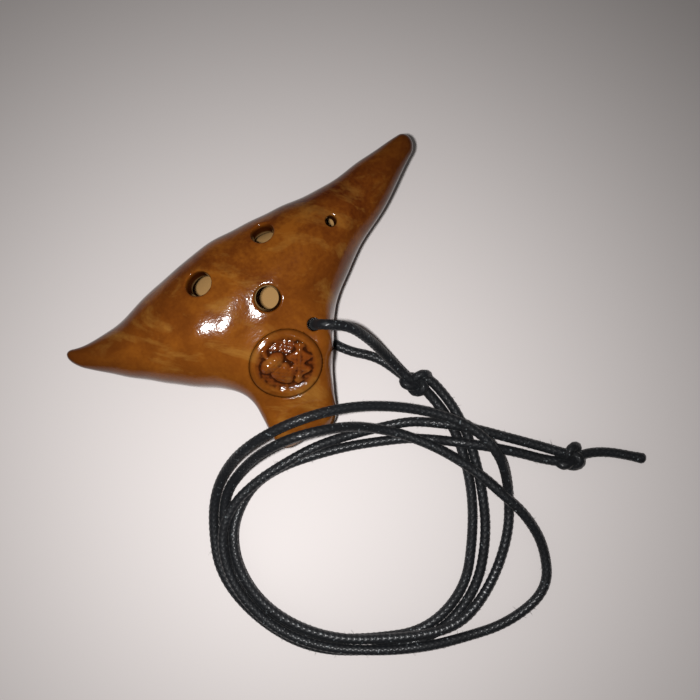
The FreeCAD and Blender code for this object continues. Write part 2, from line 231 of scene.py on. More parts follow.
# ------------------------------------------------------------------ meshing a field
def surface_nets(values: Array, origin: Array, step: float) -> tuple[Array, Array]:
    """Find the quads of a field's zero surface.

    Args:
        values: the field on a regular grid, negative inside.
        origin: the grid's lowest corner.
        step: the grid's spacing.

    Returns:
        Vertices and quads.
    """
    inside = values < 0
    cells = tuple(n - 1 for n in values.shape)
    total = np.zeros(cells + (3,), np.float32)
    count = np.zeros(cells, np.int16)
    for axis in range(3):
        others = [a for a in range(3) if a != axis]
        for first in (0, 1):
            for second in (0, 1):
                start = [0, 0, 0]
                start[others[0]], start[others[1]] = first, second
                near = tuple(slice(s, s + n) for s, n in zip(start, cells))
                start[axis] = 1
                far = tuple(slice(s, s + n) for s, n in zip(start, cells))
                a, b = values[near], values[far]
                crossed = inside[near] != inside[far]
                share = np.where(crossed, a / np.where(crossed, a - b, 1.0), 0.0)
                total[..., axis] += share
                total[..., others[0]] += crossed * first
                total[..., others[1]] += crossed * second
                count += crossed
    active = np.argwhere(count > 0)
    number = np.full(cells, -1, np.int32)
    number[tuple(active.T)] = np.arange(len(active))
    mean = total[tuple(active.T)] / count[tuple(active.T)][:, None]
    vertices = (active + mean) * step + origin
    quads = []
    for axis in range(3):
        b, c = [(axis + 1) % 3, (axis + 2) % 3]
        low = [slice(1, -1)] * 3
        high = [slice(1, -1)] * 3
        low[axis], high[axis] = slice(0, -1), slice(1, None)
        here, there = inside[tuple(low)], inside[tuple(high)]
        edges = np.argwhere(here != there)
        starts = edges + np.array([0 if a == axis else 1 for a in range(3)])
        step_b, step_c = np.eye(3, dtype=int)[b], np.eye(3, dtype=int)[c]
        ring = [starts - step_b - step_c, starts - step_c, starts, starts - step_b]
        faces = np.stack([number[tuple(cell.T)] for cell in ring], axis=1)
        flip = ~here[tuple(edges.T)]
        faces[flip] = faces[flip][:, ::-1]
        quads.append(faces)
    return vertices, np.concatenate(quads)


def settle(field_at: Callable[[Array, Array, Array], Array], points: Array,
           rounds: int = 2) -> tuple[Array, Array]:
    """Move points on to a field's zero surface.

    Args:
        field_at: the field.
        points: points close to the surface.
        rounds: how often the points are moved.

    Returns:
        The moved points and the unit normals there.
    """
    reach, longest_move = 0.04, 0.25
    for turn in range(rounds + 1):
        x, y, z = points.T
        slope = np.stack([
            field_at(x + reach, y, z) - field_at(x - reach, y, z),
            field_at(x, y + reach, z) - field_at(x, y - reach, z),
            field_at(x, y, z + reach) - field_at(x, y, z - reach),
        ], axis=1) / (2 * reach)
        length = np.maximum(np.linalg.norm(slope, axis=1), 0.2)
        if turn < rounds:
            move = np.clip(field_at(x, y, z) / length, -longest_move, longest_move)
            points = points - slope / length[:, None] * move[:, None]
    return points, slope / np.maximum(np.linalg.norm(slope, axis=1), 1e-6)[:, None]


def make_mesh(name: str, vertices: Array, faces: list[list[int]], smooth: bool = True) -> bpy.types.Object:
    """Make an object from vertices in millimetres.

    Args:
        name: the object's name.
        vertices: one row per vertex.
        faces: the vertex numbers of each face.
        smooth: whether the faces are shaded smooth.

    Returns:
        The object, in the scene.
    """
    mesh = bpy.data.meshes.new(name)
    mesh.from_pydata((vertices * MM).tolist(), [], faces)
    mesh.validate()
    mesh.polygons.foreach_set("use_smooth", [smooth] * len(mesh.polygons))
    piece = bpy.data.objects.new(name, mesh)
    bpy.context.scene.collection.objects.link(piece)
    return piece


def set_attribute(piece: bpy.types.Object, name: str, values: Array) -> None:
    """Store one number per vertex on a piece's mesh."""
    layer = piece.data.attributes.new(name, "FLOAT", "POINT")
    layer.data.foreach_set("value", np.asarray(values, np.float32))


def vertices_of(mesh: bpy.types.Mesh) -> Array:
    """Read a mesh's vertices.

    Args:
        mesh: the mesh.

    Returns:
        One row per vertex, in millimetres.
    """
    flat = np.empty(len(mesh.vertices) * 3)
    mesh.vertices.foreach_get("co", flat)
    return flat.reshape(-1, 3) / MM


# ------------------------------------------------------------------ finishes
@dataclass(frozen=True)
class AmberGlaze:
    """Earthenware under a clear honey glaze, brushed on and fired: wet gloss over mottled brown."""

    red_brown: str = "471b06"
    brown: str = "602f0b"
    amber: str = "7b4512"
    ochre: str = "95682c"
    # painted shade in the stamp's hollows, in its groove and on the steep flanks
    painted_shade: str = "240d04"
    bisque: str = "a47e4d"
    # glazed brown, painted darker as shade inside the holes and the cord's tunnel
    hole_wall: str = "3a1805"
    # painted shade towards the wing tips
    tip: str = "421c06"
    madder: str = "6c3011"       # where the stamp's hollows took a redder wash
    patch_mm: float = 13.0       # drifts of thick and thin glaze
    streak_mm: float = 8.0       # brush marks
    grain_mm: float = 0.9        # clay grain under the glaze
    peel_mm: float = 0.65        # orange peel of the fired surface
    streaks: float = 0.72        # how strongly the ochre slip shows
    streak_turn: float = -45.0   # degrees between the brush marks and +X
    wet: float = 0.12            # roughness of the glaze
    matt: float = 0.9            # roughness of the bare clay

    def build(self) -> bpy.types.Material:
        """Make the material.

        Returns:
            The material. It reads the clay's vertex attributes for the stamp's redder wash, the painted
            shade, the hole walls with their painted shade, and the bare bisque.
        """
        material = bpy.data.materials.new("honey_glazed_earthenware")
        material.use_nodes = True
        tree = material.node_tree
        tree.nodes.clear()
        place = add_node(tree, "ShaderNodeTexCoord").outputs["Object"]
        patch = add_node(tree, "ShaderNodeTexNoise", {
            "Scale": 1 / (self.patch_mm * MM), "Detail": 4.0, "Roughness": 0.62, "Distortion": 0.6},
            {"Vector": place})
        turned = add_node(tree, "ShaderNodeMapping", {
            "vector_type": "TEXTURE", "Rotation": (0, 0, math.radians(self.streak_turn)),
            "Scale": (2.4, 1.0, 1.4)}, {"Vector": place})
        streak = add_node(tree, "ShaderNodeTexNoise", {
            "Scale": 1 / (self.streak_mm * MM), "Detail": 7.0, "Roughness": 0.64, "Distortion": 0.5},
            {"Vector": turned.outputs["Vector"]})
        grain = add_node(tree, "ShaderNodeTexNoise", {
            "Scale": 1 / (self.grain_mm * MM), "Detail": 2.0}, {"Vector": place})
        drift = add_node(tree, "ShaderNodeMath", {"operation": "MULTIPLY_ADD", 1: 0.25}, {
            0: grain.outputs[0], 2: patch.outputs[0]})
        tint = set_ramp(add_node(tree, "ShaderNodeValToRGB", {}, {"Fac": drift.outputs[0]}), (
            (0.40, linear(self.red_brown)), (0.59, linear(self.brown)), (0.77, linear(self.amber))))
        # The glaze is honey coloured towards the mouthpiece and redder behind the holes.
        toward = add_node(tree, "ShaderNodeVectorMath", {"operation": "DOT_PRODUCT", 1: (0.45, 1.0, 0.0)}, {
            0: place})
        front = add_node(tree, "ShaderNodeMapRange", {
            "From Min": 24 * MM, "From Max": -8 * MM, "To Min": 0.0, "To Max": 0.50}, {
            "Value": toward.outputs["Value"]})
        # Thin glaze along the brush marks lets the ochre slip show.
        thin = add_node(tree, "ShaderNodeMapRange", {
            "From Min": 0.54, "From Max": 0.72, "To Min": 0.0, "To Max": self.streaks}, {
            "Value": streak.outputs[0]})
        # Painted shade: darker towards the wing tips.
        axes = add_node(tree, "ShaderNodeSeparateXYZ", {}, {"Vector": place})
        out = add_node(tree, "ShaderNodeMath", {"operation": "ABSOLUTE"}, {0: axes.outputs["X"]})
        tip = add_node(tree, "ShaderNodeMapRange", {
            "From Min": 31 * MM, "From Max": 50 * MM, "To Min": 0.0, "To Max": 0.8}, {
            "Value": out.outputs[0]})
        stamp, painted_shade, hole_wall, bare = [
            add_node(tree, "ShaderNodeAttribute", {"attribute_name": name}).outputs["Fac"]
            for name in ("stamp", "painted_shade", "hole_wall", "bisque")]
        # Each colour covers those before it, as far as its share says; the tip, shade and hole-wall layers
        # are painted shade, the rest are the glaze's own colours.
        colour_layers = (
            (front.outputs[0], self.amber), (thin.outputs[0], self.ochre), (tip.outputs[0], self.tip),
            (stamp, self.madder), (painted_shade, self.painted_shade), (hole_wall, self.hole_wall), (bare, self.bisque))
        colour = tint.outputs["Color"]
        for share, tone in colour_layers:
            colour = add_node(tree, "ShaderNodeMix", {"data_type": "RGBA", 7: linear(tone)}, {
                0: share, 6: colour}).outputs[2]
        # Bare fired clay inside the chamber is matt, the glaze is wet gloss.
        gloss = add_node(tree, "ShaderNodeMapRange", {
            "From Min": 0.0, "From Max": 1.0, "To Min": self.wet, "To Max": self.matt}, {"Value": bare})
        peel = add_node(tree, "ShaderNodeTexNoise", {
            "Scale": 1 / (self.peel_mm * MM), "Detail": 2.5, "Roughness": 0.5}, {"Vector": place})
        dimple = add_node(tree, "ShaderNodeBump", {"Strength": 0.42, "Distance": 0.08 * MM}, {
            "Height": peel.outputs[0]})
        knead = add_node(tree, "ShaderNodeBump", {"Strength": 0.30, "Distance": 0.4 * MM}, {
            "Height": patch.outputs[0], "Normal": dimple.outputs[0]})
        surface = add_node(tree, "ShaderNodeBsdfPrincipled", {
            "IOR": 1.52, "Specular IOR Level": 0.26, "Coat Weight": 0.05, "Coat Roughness": 0.05,
            "Coat IOR": 1.5}, {
            "Base Color": colour, "Roughness": gloss.outputs[0], "Normal": knead.outputs[0]})
        add_node(tree, "ShaderNodeOutputMaterial", {}, {"Surface": surface.outputs[0]})
        return material


@dataclass(frozen=True)
class WaxedCotton:
    """Black cotton braid pulled through wax: dull fibre, hazed where the wax is thick."""

    thread: str = "0c0d10"
    worn: str = "17191c"
    # pale wax crumbs, painted brighter to stand for the braid's glints
    wax: str = "7c8386"
    fibre_mm: float = 0.25   # cotton fibres in the threads
    haze_mm: float = 3.0     # places that were handled more
    fleck_mm: float = 0.8    # crumbs of dry wax

    def build(self) -> bpy.types.Material:
        """Make the material.

        Returns:
            The material.
        """
        material = bpy.data.materials.new("waxed_cotton_braid")
        material.use_nodes = True
        tree = material.node_tree
        tree.nodes.clear()
        place = add_node(tree, "ShaderNodeTexCoord").outputs["Object"]
        haze, fleck, fibre = [
            add_node(tree, "ShaderNodeTexNoise", {"Scale": 1 / (size * MM), "Detail": detail}, {
                "Vector": place})
            for size, detail in ((self.haze_mm, 3.0), (self.fleck_mm, 2.0), (self.fibre_mm, 2.0))]
        dye = set_ramp(add_node(tree, "ShaderNodeValToRGB", {}, {"Fac": haze.outputs[0]}), (
            (0.35, linear(self.thread)), (0.72, linear(self.worn))))
        # Pale crumbs of wax, partly painted highlight: brightened to stand for the braid's glints, they
        # show only where the flecks are densest.
        wax_and_glint = add_node(tree, "ShaderNodeMapRange", {
            "From Min": 0.67, "From Max": 0.76, "To Min": 0.0, "To Max": 0.80}, {"Value": fleck.outputs[0]})
        colour = add_node(tree, "ShaderNodeMix", {"data_type": "RGBA", 7: linear(self.wax)}, {
            0: wax_and_glint.outputs[0], 6: dye.outputs["Color"]})
        rough = add_node(tree, "ShaderNodeMapRange", {
            "From Min": 0.35, "From Max": 0.7, "To Min": 0.68, "To Max": 0.42}, {"Value": haze.outputs[0]})
        bump = add_node(tree, "ShaderNodeBump", {"Strength": 0.6, "Distance": 0.08 * MM}, {
            "Height": fibre.outputs[0]})
        surface = add_node(tree, "ShaderNodeBsdfPrincipled", {
            "IOR": 1.45, "Specular IOR Level": 0.3, "Coat Weight": 0.20, "Coat Roughness": 0.22,
            "Sheen Weight": 0.03, "Sheen Roughness": 0.5}, {
            "Base Color": colour.outputs[2], "Roughness": rough.outputs[0], "Normal": bump.outputs[0]})
        add_node(tree, "ShaderNodeOutputMaterial", {}, {"Surface": surface.outputs[0]})
        return material


@dataclass(frozen=True)
class PaleTable:
    """Satin white laminate, pressed: nearly plain with a soft sheen."""

    white: str = "d6cfcd"

    def build(self) -> bpy.types.Material:
        """Make the material.

        Returns:
            The material.
        """
        material = bpy.data.materials.new("pale_laminate")
        material.use_nodes = True
        surface = material.node_tree.nodes["Principled BSDF"]
        surface.inputs["Base Color"].default_value = linear(self.white)
        surface.inputs["Roughness"].default_value = 0.75
        surface.inputs["Specular IOR Level"].default_value = 0.25
        return material


# ------------------------------------------------------------------ the clay
@dataclass
class ClayFlute:
    """The vessel, its mouthpiece, chamber, airway and holes.

    Sizes are in millimetres and degrees. A field is the distance to a surface, negative inside it.
    """

    span: float = 98.0
    depth: float = 36.8
    height: float = 25.2
    wall: float = 4.0
    pitch: float = 10.5
    roll: float = 2.4
    belly_y: float = 8.0
    belly_flat: float = 0.5
    beak_length: float = 28.0
    beak_turn: float = 16.0
    lip_at: tuple[float, float] = (-11.2, -25.5)
    lip_width: float = 14.4
    lip_top: float = 10.4
    lip_extra: float = 1.2          # how much longer the lip is in its middle
    lip_slant: float = 12.0
    lip_round: float = 2.2
    beak_round: float = 3.4         # of the beak's long edges
    beak_end: float = 0.98          # where the beak ends in the vessel, as a share of its length
    neck_width: float = 24.6
    neck_drop: float = 4.2
    neck_blend: float = 7.0         # reach of the fillet between vessel and beak
    joint_behind_lip: float = 13.5  # where the mouthpiece is luted on
    airway: tuple[float, float, float] = (9.0, 1.6, 4.0)   # width, height, floor
    window: tuple[float, float] = (17.4, 5.5)              # start behind the lip, length
    window_head: float = 3.4        # how far the window goes up past the airway
    ramp_slope: float = 35.0
    chamber_end: float = 0.37       # share of the span, each way
    cord_hole: tuple[float, float, float] = (4.8, -4.1, 1.55)
    cord_hole_wall: float = 2.0
    hole_foot: float = 0.85         # height from which the finger holes are bored, as a share
    hole_wear: float = 0.04         # widening towards the worn rim, as a share of the radius
    worn_over: float = 3.4
    medal_at: tuple[float, float] = (0.5, 17.9)            # across the beak, behind the lip
    medal_sunk: float = 1.3
    medal_tilt: float = 18.0
    medal_radius: float = 8.6
    medal_depth: float = 2.6
    tip_round: float = 2.2
    rim_round: float = 0.5          # of the holes' edges
    grid: float = 0.40
    slab: int = 24                  # grid layers that are worked out at a time
    # Place along the span, then shares of the depth behind the belly, the depth and the height.
    sections: tuple[tuple[float, ...], ...] = (
        (-0.500, 0.350, 0.125, 0.160), (-0.475, 0.302, 0.158, 0.190), (-0.370, 0.162, 0.408, 0.575),
        (-0.220, 0.044, 0.812, 0.975), (-0.060, 0.000, 1.000, 0.955), (0.120, 0.096, 0.722, 0.835),
        (0.250, 0.184, 0.460, 0.630), (0.370, 0.268, 0.322, 0.455), (0.475, 0.355, 0.160, 0.200),
        (0.500, 0.370, 0.135, 0.170),
    )
    # Place behind the lip, width and top as shares towards the neck's, and the underside's height.
    beak_sections: tuple[tuple[float, ...], ...] = (
        (0.00, 0.00, 0.00, 0.6), (0.10, 0.20, 0.22, 0.0), (0.28, 0.36, 0.46, 0.0),
        (0.50, 0.62, 0.72, 0.4), (0.70, 1.00, 1.00, 2.0), (0.98, 1.10, 0.90, 6.0),
    )
    # Share of the span, share of the depth behind the belly, lean back, lean right, radius.
    finger_holes: tuple[tuple[float, ...], ...] = (
        (-0.124, 0.255, 14.0, -6.0, 3.2), (0.063, 0.337, 26.0, 8.0, 3.2),
        (-0.010, -0.030, -10.0, 4.0, 3.2), (0.218, 0.163, -4.0, 14.0, 1.6),
    )
    glaze: AmberGlaze = field(default_factory=AmberGlaze)

    def __post_init__(self) -> None:
        """Work out what follows from the sizes."""
        lean = math.radians(self.pitch)
        half_height = math.hypot(self.depth / 2 * math.sin(lean), self.height / 2 * math.cos(lean))
        self.belly_z = half_height - self.belly_flat
        self.top = 2 * self.belly_z + self.belly_flat
        turn = math.radians(self.beak_turn)
        cos, sin = math.cos(turn), math.sin(turn)
        self.beak = Frame3(np.array([*self.lip_at, 0.0]),
                           np.array([[cos, -sin, 0], [sin, cos, 0], [0, 0, 1.0]]))
        self.medal = self.beak.moved(*self.medal_at, self.top - self.neck_drop - self.medal_sunk,
                                     self.medal_tilt)

    # ---- fields
    def oval(self, x: Array, y: Array, z: Array, wall: float) -> Array:
        """Distance to the vessel's skin, or to its chamber when wall isn't 0.

        Args:
            x: the places' x.
            y: the places' y.
            z: the places' z.
            wall: how far inside the skin the surface lies.

        Returns:
            The distance, negative inside.
        """
        table = np.array(self.sections)
        back, deep, thick = smooth_table(table[:, 0], table[:, 1:], x / self.span)
        tip = np.clip((np.abs(x) - self.span / 2 + self.tip_round) / self.tip_round, 0.0, 0.9999)
        rounding = np.sqrt(1 - tip ** 2)
        lean, roll = math.radians(self.pitch), math.radians(self.roll)
        behind = self.depth * back
        dy = y - self.belly_y - behind
        dz = z - self.belly_z - behind * math.tan(lean) + x * math.tan(roll)
        level = dy * math.cos(lean) + dz * math.sin(lean)
        upright = dz * math.cos(lean) - dy * math.sin(lean)
        a = np.maximum(self.depth / 2 * deep * rounding - wall, 0.15)
        b = np.maximum(self.height / 2 * thick * rounding - wall, 0.15)
        ring = np.hypot(level / a, upright / b)
        slope = np.hypot(level / a ** 2, upright / b ** 2)
        shell = ring * (ring - 1) / np.maximum(slope, 1e-4)
        return smooth_max(shell, np.abs(x) - self.span / 2 + wall, 0.4)

    def beak_block(self, x: Array, y: Array, z: Array) -> Array:
        """Distance to the mouthpiece's flat-topped block.

        Args:
            x: the places' x.
            y: the places' y.
            z: the places' z.

        Returns:
            The distance, negative inside.
        """
        across, inward, up = self.beak.local(x, y, z)
        slant = self.lip_extra - across * math.tan(math.radians(self.lip_slant))
        inward = inward + slant * np.clip(1 - inward / 20, 0, 1)
        table = np.array(self.beak_sections)
        wide, high, low = smooth_table(table[:, 0], table[:, 1:], inward / self.beak_length)
        half = (self.lip_width + wide * (self.neck_width - self.lip_width)) / 2
        top = self.lip_top + high * (self.top - self.neck_drop - self.lip_top)
        radius = self.beak_round
        u = np.abs(across) - half + radius
        v = np.abs(up - (top + low) / 2) - (top - low) / 2 + radius
        walls = np.hypot(np.maximum(u, 0), np.maximum(v, 0)) + np.minimum(np.maximum(u, v), 0) - radius
        lip = smooth_max(walls, -inward, self.lip_round)
        return smooth_max(lip, inward - self.beak_end * self.beak_length, 3.0)

    def skin(self, x: Array, y: Array, z: Array) -> Array:
        """Distance to the whole outer surface, kneaded a little uneven.

        Args:
            x: the places' x.
            y: the places' y.
            z: the places' z.

        Returns:
            The distance, negative inside.
        """
        body = smooth_min(self.oval(x, y, z, 0.0), self.beak_block(x, y, z), self.neck_blend)
        dents = 0.10 * np.sin(0.33 * x + 0.9) * np.sin(0.29 * y + 0.4 * z)
        knead = dents + 0.06 * np.sin(0.61 * x - 0.5 * y + 2.0)
        return smooth_max(body + knead, -z, 0.6)

    def chamber(self, x: Array, y: Array, z: Array) -> Array:
        """Distance to the hollow inside the vessel.

        Args:
            x: the places' x.
            y: the places' y.
            z: the places' z.

        Returns:
            The distance, negative inside.
        """
        hollow = np.maximum(self.oval(x, y, z, self.wall), np.abs(x) - self.chamber_end * self.span)
        hole_x, hole_y, radius = self.cord_hole
        boss = radius + self.cord_hole_wall - np.hypot(x - hole_x, y - hole_y)
        return smooth_max(hollow, boss, 0.8)

    def bores(self, x: Array, y: Array, z: Array) -> Array:
        """Distance to the finger holes and the cord's tunnel.

        Args:
            x: the places' x.
            y: the places' y.
            z: the places' z.

        Returns:
            The distance, negative inside.
        """
        hole_x, hole_y, radius = self.cord_hole
        gap = np.hypot(x - hole_x, y - hole_y) - radius
        for right, behind, back, lean, wide in self.finger_holes:
            foot = np.array([self.span * right, self.belly_y + self.depth * behind,
                             self.height * self.hole_foot])
            a, b = math.radians(back), math.radians(lean)
            axis = np.array([math.sin(b) * math.cos(a), math.sin(a), math.cos(b) * math.cos(a)])
            dx, dy, dz = x - foot[0], y - foot[1], z - foot[2]
            along = dx * axis[0] + dy * axis[1] + dz * axis[2]
            away = np.sqrt(np.maximum(dx ** 2 + dy ** 2 + dz ** 2 - along ** 2, 0))
            taper = self.hole_wear * wide * np.clip(self.worn_over - along, 0, 5)
            gap = np.minimum(gap, np.maximum(away - wide + taper, -along - 0.4 * self.height))
        return gap

    def wind_way(self, x: Array, y: Array, z: Array) -> Array:
        """Distance to the airway, the sound window and the ramp behind its edge.

        Args:
            x: the places' x.
            y: the places' y.
            z: the places' z.

        Returns:
            The distance, negative inside.
        """
        across, inward, up = self.beak.local(x, y, z)
        width, height, floor = self.airway
        start, length = self.window
        side = np.abs(across) - width / 2
        edge = start + length
        air = np.maximum(np.abs(up - floor - height / 2) - height / 2, inward - edge)
        head = up - floor - height - self.window_head
        hole = np.maximum(np.maximum(start - inward, inward - edge), head)
        slope = math.radians(self.ramp_slope)
        behind, below = inward - edge, up - floor - height / 2
        ramp = np.maximum(below * math.cos(slope) + behind * math.sin(slope), -behind)
        return np.maximum(side, np.minimum(np.minimum(air, hole), ramp))

    def seat(self, x: Array, y: Array, z: Array) -> Array:
        """Distance to the round recess for the medallion."""
        u, v, w = self.medal.local(x, y, z)
        return np.maximum(np.hypot(u, v) - self.medal_radius, -self.medal_depth - w)

    def clay(self, x: Array, y: Array, z: Array) -> Array:
        """Distance to the clay itself.

        Args:
            x: the places' x.
            y: the places' y.
            z: the places' z.

        Returns:
            The distance, negative inside.
        """
        solid = smooth_max(self.skin(x, y, z), -self.bores(x, y, z), self.rim_round)
        solid = smooth_max(solid, -self.wind_way(x, y, z), 0.35)
        solid = smooth_max(solid, -self.seat(x, y, z), 0.3)
        return smooth_max(solid, -self.chamber(x, y, z), 0.9)

    # ---- pieces
    def whole(self) -> bpy.types.Object:
        """Mesh the clay in one go.

        Returns:
            The closed mesh of vessel and mouthpiece.
        """
        low = np.array([-self.span / 2 - 1.5, -29.0, -1.5])
        high = np.array([self.span / 2 + 1.5, 29.0, self.top + 2.5])
        axes = [np.arange(a, b, self.grid) for a, b in zip(low, high)]
        x, y, z = np.meshgrid(*axes, indexing="ij", sparse=True)
        values = np.concatenate([
            self.clay(x[i:i + self.slab], y, z) for i in range(0, len(x), self.slab)])
        vertices, quads = surface_nets(values, low, self.grid)
        vertices, _ = settle(self.clay, vertices)
        return make_mesh("clay_whole", vertices, quads.tolist())

    @staticmethod
    def halve(piece: bpy.types.Object, name: str, place: Array, normal: Array) -> bpy.types.Object:
        """Cut a closed mesh with a plane and close the cut.

        Args:
            piece: the mesh object; it keeps what lies behind the plane.
            name: the name of the new piece, in front of the plane.
            place: a point of the plane, in millimetres.
            normal: the plane's normal.

        Returns:
            The new piece.
        """
        front = piece.copy()
        front.data = piece.data.copy()
        front.name = front.data.name = name
        bpy.context.scene.collection.objects.link(front)
        for half, keep_front in ((piece, False), (front, True)):
            mesh = bmesh.new()
            mesh.from_mesh(half.data)
            found = bmesh.ops.bisect_plane(
                mesh, geom=mesh.verts[:] + mesh.edges[:] + mesh.faces[:], dist=1e-7,
                plane_co=Vector(place) * MM, plane_no=Vector(normal),
                clear_outer=not keep_front, clear_inner=keep_front)
            rim = [e for e in found["geom_cut"] if isinstance(e, bmesh.types.BMEdge) and e.is_boundary]
            caps = bmesh.ops.triangle_fill(mesh, edges=rim, use_beauty=True)["geom"]
            for face in caps:
                if isinstance(face, bmesh.types.BMFace):
                    face.smooth = False
            bmesh.ops.recalc_face_normals(mesh, faces=mesh.faces[:])
            mesh.to_mesh(half.data)
            mesh.free()
        return front

    def dress(self, piece: bpy.types.Object, material: bpy.types.Material) -> None:
        """Give a clay piece its attributes, its normals and its glaze.

        Args:
            piece: the clay piece.
            material: the glaze.
        """
        points = vertices_of(piece.data)
        x, y, z = points.T
        depth = -self.skin(x, y, z)
        hollow, bore = self.chamber(x, y, z), self.bores(x, y, z)
        wind = self.wind_way(x, y, z)
        inner = smooth_step(0.9, 2.4, depth)
        to_chamber = smooth_step(1.2, 0.2, np.minimum(hollow, wind))
        groove = np.abs(self.seat(x, y, z))
        normals = settle(self.clay, points, 0)[1]
        # Painted shade: the steep flanks are darkened, most of all at the back.
        slope_shade = smooth_step(0.62, 0.12, normals[:, 2]) * (0.42 + 0.43 * smooth_step(-0.3, 0.4, normals[:, 1]))
        # Painted shade in the groove round the stamp, uneven where the groove is smeared shut in places.
        uneven = 0.42 + 0.30 * np.sin(0.5 * x + 0.9) * np.sin(0.6 * y + 0.4)
        painted_shade = np.maximum(uneven * smooth_step(0.45, 0.02, groove) * smooth_step(1.6, 0.6, depth), slope_shade)
        set_attribute(piece, "bisque", inner * to_chamber)
        # The glazed walls of the holes and the cord's tunnel are painted darker as shade inside the bores.
        set_attribute(piece, "hole_wall", smooth_step(0.5, 1.4, depth) * smooth_step(0.6, 0.2, bore))
        set_attribute(piece, "painted_shade", painted_shade)
        mesh = piece.data
        loops = np.empty(len(mesh.loops), np.int32)
        mesh.loops.foreach_get("vertex_index", loops)
        wanted = normals[loops]
        for face in mesh.polygons:
            if not face.use_smooth:
                wanted[face.loop_start:face.loop_start + face.loop_total] = face.normal
        mesh.normals_split_custom_set(wanted.tolist())
        piece.data.materials.append(material)
        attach(piece, "root")

    def build(self) -> None:
        """Make the shells and the mouthpiece."""
        material = self.glaze.build()
        mouth = self.whole()
        mouth.name = mouth.data.name = Zone.MOUTH.value
        joint = self.beak.moved(0, self.joint_behind_lip, 0)
        lower = self.halve(mouth, Zone.LOWER.value, joint.origin, joint.axes[1])
        lean, roll = math.radians(self.pitch), math.radians(self.roll)
        seam = np.array([math.sin(roll), -math.sin(lean) * math.cos(roll), math.cos(lean) * math.cos(roll)])
        upper = self.halve(lower, Zone.UPPER.value, np.array([0, self.belly_y, self.belly_z]), seam)
        for piece, node in ((mouth, "mouthpiece"), (lower, "lower_shell"), (upper, "upper_shell")):
            self.dress(piece, material)
            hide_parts(node)
            LOG.info("%s: %d faces", piece.name, len(piece.data.polygons))
        self.build_medallion(material)

    # ---- the medallion
    @staticmethod
    def turned(u: Array, v: Array, middle: tuple[float, float], degrees: float) -> tuple[Array, Array]:
        """Coordinates about a middle, along axes that are turned.

        Args:
            u: the places across.
            v: the places along.
            middle: the new axes' middle.
            degrees: how far the axes are turned.

        Returns:
            The places along the two turned axes.
        """
        cos, sin = math.cos(math.radians(degrees)), math.sin(math.radians(degrees))
        du, dv = u - middle[0], v - middle[1]
        return du * cos + dv * sin, dv * cos - du * sin

    def relief(self, u: Array, v: Array) -> Array:
        """Height of the stamped acorn and oak leaf.

        Args:
            u: the places across the disc.
            v: the places along it.

        Returns:
            The heights, in millimetres.
        """
        radius, around = np.hypot(u, v), np.arctan2(v, u)
        worn = 0.08 * np.sin(1.9 * u + 0.7 * v) * np.sin(1.5 * v + 1.0)
        worn = worn + 0.05 * np.sin(2.7 * u - 1.9 * v + 2.0)
        worn = worn + 0.06 * np.sin(4.3 * u + 2.1 * v) * np.sin(3.7 * v - 1.3 * u)
        worn = worn + 0.04 * np.sin(7.1 * u - 3.3 * v + 1.0) * np.sin(6.3 * v + 2.9 * u)
        ground = -0.60 * smooth_step(7.5, 5.8, radius + 0.25 * np.sin(3 * around + 0.6))
        bead_height = 0.18 + 0.10 * np.sin(2 * around + 1.0)
        bead = bead_height * np.exp(-((radius - 7.2 - 0.2 * np.sin(3 * around)) / 0.5) ** 2)
        # The acorn leans to the left: nut, cup and stalk along its own axis.
        a, b = self.turned(u, v, (-1.9, -0.3), 26)
        nut = 1.35 * np.sqrt(np.clip(1 - (a / 2.6) ** 2 - ((b + 1.1) / 3.8) ** 2, 0, 1))
        shell = np.clip(1 - (a / 3.3) ** 2 - ((b - 2.2) / 2.1) ** 2, 0, 1)
        scales = 0.05 * np.cos(2.9 * a + 2.9 * b) * np.cos(2.9 * a - 2.9 * b)
        cup = (1.6 + scales) * np.sqrt(shell) * smooth_step(0.1, 0.6, b)
        stalk = 0.85 * np.exp(-((a - 0.14 * (b - 3.6) ** 2) / 0.62) ** 2) * smooth_step(3.0, 3.8, b)
        stalk = stalk * smooth_step(6.2, 5.4, b)
        # The leaf lies to the right, with three lobes a side.
        c, d = self.turned(u, v, (3.0, -0.5), -18)
        along = np.clip((d + 5.2) / 10.4, 0, 1)
        lobes = 1.0 + 0.34 * np.cos(along * 6 * math.pi)
        half = lobes * 2.7 * np.sqrt(np.clip(4 * along * (1 - along), 0, 1))
        blade = smooth_step(-0.1, 0.9, half - np.abs(c))
        veins = 0.25 * np.exp(-(c / 0.3) ** 2) - 0.10 * np.cos(along * 6 * math.pi + 1.8 * np.abs(c))
        leaf = blade * (0.80 + veins)
        figure = smooth_max(smooth_max(nut, cup, 0.25), smooth_max(stalk, leaf, 0.25), 0.3)
        return ground + bead + (1.2 * figure + worn) * smooth_step(7.4, 6.4, radius)

    def hollows(self, u: Array, v: Array, reach: float = 0.7) -> Array:
        """Find how far each place of the relief lies below its surroundings.

        Args:
            u: the places across the disc.
            v: the places along it.
            reach: how far away the surroundings are.

        Returns:
            The depths, in millimetres.
        """
        turns = np.linspace(0, 2 * math.pi, 8, endpoint=False)
        ring = sum(self.relief(u + reach * math.cos(turn), v + reach * math.sin(turn)) for turn in turns)
        return ring / len(turns) - self.relief(u, v)

    def skin_level(self, u: Array, v: Array) -> Array:
        """Find by halving how high the clay's skin lies over the medallion's place.

        Args:
            u: the places across the disc.
            v: the places along it.

        Returns:
            The heights, in millimetres.
        """
        low, high = np.full(u.shape, -5.0), np.full(u.shape, 5.0)
        for _ in range(24):
            middle = (low + high) / 2
            inside = self.skin(*self.medal.world(u, v, middle)) < 0
            low, high = np.where(inside, middle, low), np.where(inside, high, middle)
        return low

